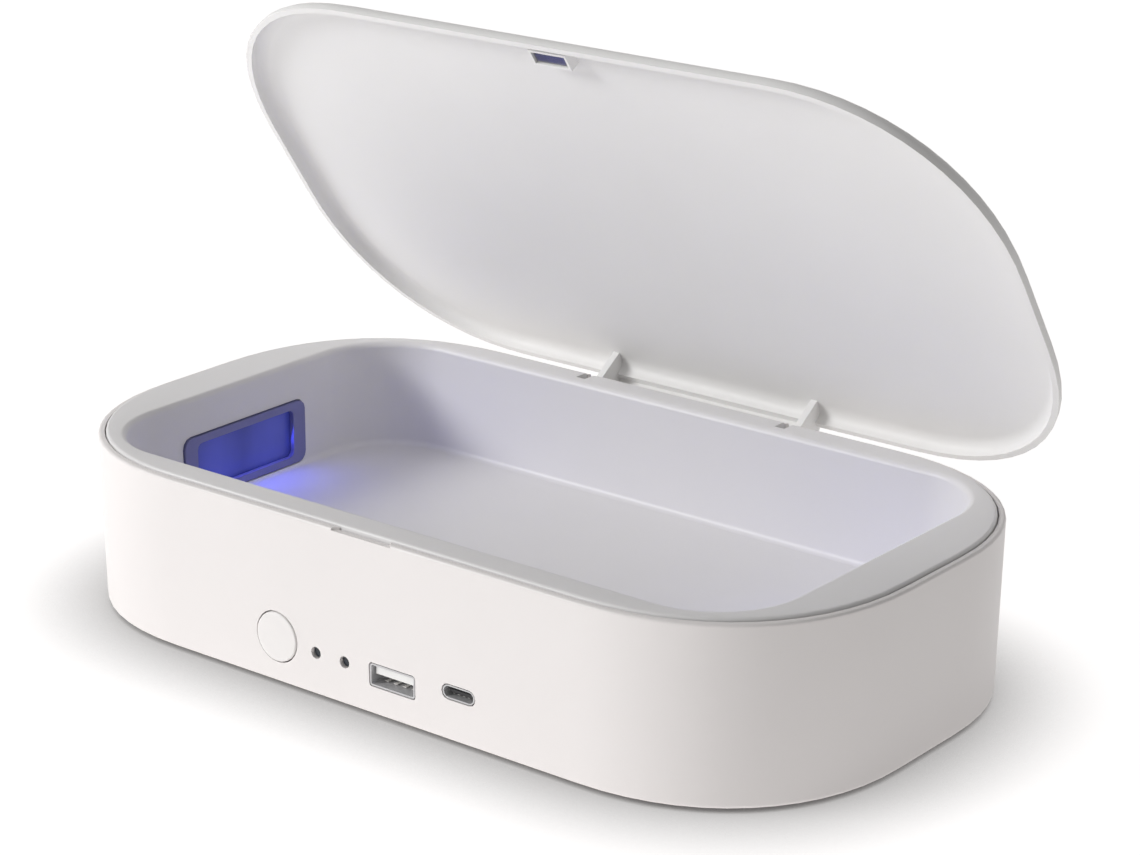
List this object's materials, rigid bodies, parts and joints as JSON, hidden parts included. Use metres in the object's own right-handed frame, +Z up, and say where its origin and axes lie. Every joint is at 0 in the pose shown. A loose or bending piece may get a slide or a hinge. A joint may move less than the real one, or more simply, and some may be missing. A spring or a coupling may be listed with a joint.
{
  "type": "uv sanitizer box for phones",
  "caption": "Oval desktop box with a drawn tray, lamp windows in its end walls, a round power button, charging sockets and a hinged dished lid that stands open.",
  "frame": {"origin": "on the surface that the feet stand on, under the middle of the open box's length and depth", "axes": "+X to the right of the front, along the body's length; +Y to the rear, where the hinge is; +Z up"},
  "size_m": [0.22, 0.1334, 0.1422],
  "materials": {
    "white_shell": "satin",
    "white_tray": "satin",
    "white_cover": "fine texture",
    "white_insert": "moulded",
    "grey_rubber": "matte",
    "steel": "plated",
    "magnet": "nickel plated",
    "clear_plastic": "smoked clear",
    "slate_plastic": "satin",
    "blue_glass": "polished, lit from behind",
    "green_board": "solder mask",
    "black_plastic": "moulded",
    "led": "lens",
    "copper": "wound wire",
    "ferrite": "sintered"
  },
  "bodies": {
    "base": {"outer_shell": "white_shell", "inner_tray": "white_tray", "bottom_cover": "white_cover", "foot_front_left": "grey_rubber", "foot_front_right": "grey_rubber", "foot_rear_left": "grey_rubber", "foot_rear_right": "grey_rubber", "case_screw_front_left": "steel", "case_screw_front_right": "steel", "case_screw_rear_left": "steel", "case_screw_rear_right": "steel", "hinge_pin_left": "steel", "hinge_pin_right": "steel", "hinge_washer_left": "steel", "hinge_washer_right": "steel", "main_board": "green_board", "board_screw_left": "steel", "board_screw_right": "steel", "control_chip": "black_plastic", "coil_driver": "black_plastic", "switch_body": "black_plastic", "light_pipe_left": "clear_plastic", "light_pipe_right": "clear_plastic", "status_led_left": "led", "status_led_right": "led", "usb_a_shell": "steel", "usb_a_tongue": "white_insert", "usb_c_shell": "steel", "usb_c_tongue": "black_plastic", "charging_coil": "copper", "ferrite_plate": "ferrite", "latch_plate": "steel", "lid_sensor": "black_plastic", "uv_bezel_left": "slate_plastic", "uv_bezel_right": "slate_plastic", "uv_window_left": "blue_glass", "uv_window_right": "blue_glass", "uv_board_left": "white_insert", "uv_board_right": "white_insert", "uv_led_left_front": "led", "uv_led_left_rear": "led", "uv_led_right_front": "led", "uv_led_right_rear": "led"},
    "lid": {"lid": "white_shell", "lid_magnet": "magnet"},
    "button": {"power_button": "white_shell", "switch_plunger": "black_plastic"}
  },
  "joints": [
    {"name": "lid_hinge", "type": "hinge", "parent": "base", "child": "lid", "pos_m": [0, 0.05722, 0.0333], "axis": [1, 0, 0], "range_deg": [0, 55.7]},
    {"name": "button_press", "type": "slide", "parent": "base", "child": "button", "axis": [0, 1, 0], "range_m": [0, 0.0008], "stiffness_N_per_m": 1900}
  ]
}
